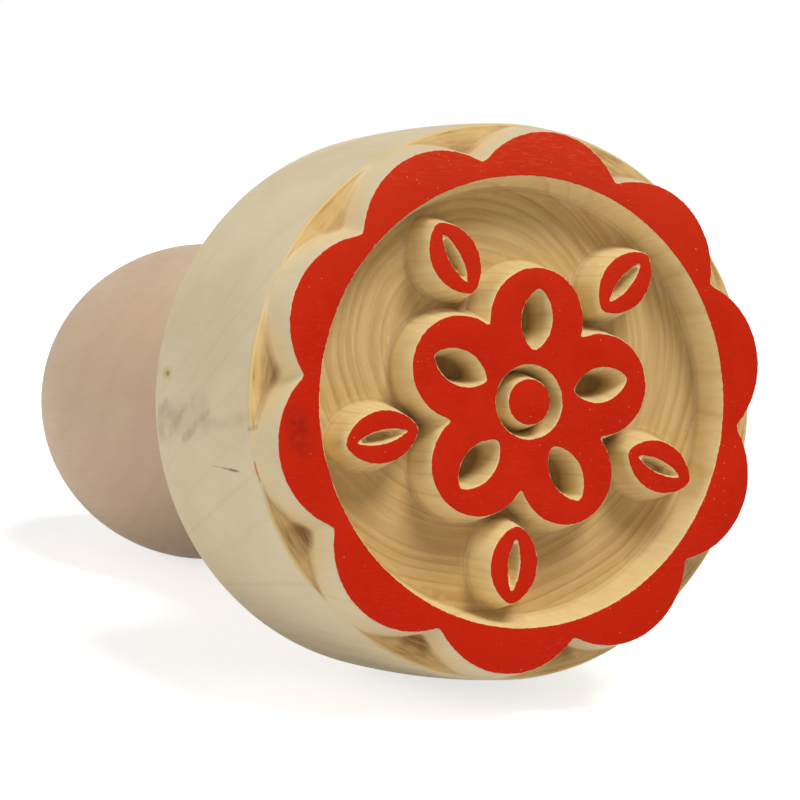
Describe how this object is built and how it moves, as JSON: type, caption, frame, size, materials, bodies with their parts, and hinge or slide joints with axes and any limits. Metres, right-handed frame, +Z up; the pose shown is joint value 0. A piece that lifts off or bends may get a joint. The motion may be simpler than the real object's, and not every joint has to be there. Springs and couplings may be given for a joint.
{
  "type": "mooncake mold",
  "caption": "Turned wooden hand stamp for mooncakes: a thick round head with a red-painted carved blossom inside a scalloped rim, and a bulbous palm handle.",
  "frame": {"origin": "bottom centre of the box of the stamp lying on its side, on the surface it lies on", "axes": "+Z up, +Y from the carved face towards the handle's end, +X to the right of someone who looks at the face"},
  "size_m": [0.0661, 0.1476, 0.067],
  "materials": {
    "head_wood": "bare, sanded, pale cream",
    "handle_wood": "bare, sanded, pinkish tan",
    "red_paint": "brushed red paint, matte"
  },
  "bodies": {
    "root": {"stamp_head": "head_wood", "turned_handle": "handle_wood", "rim_paint": "red_paint", "blossom_paint": "red_paint", "boss_paint": "red_paint", "leaf_paint": "red_paint"}
  },
  "joints": []
}
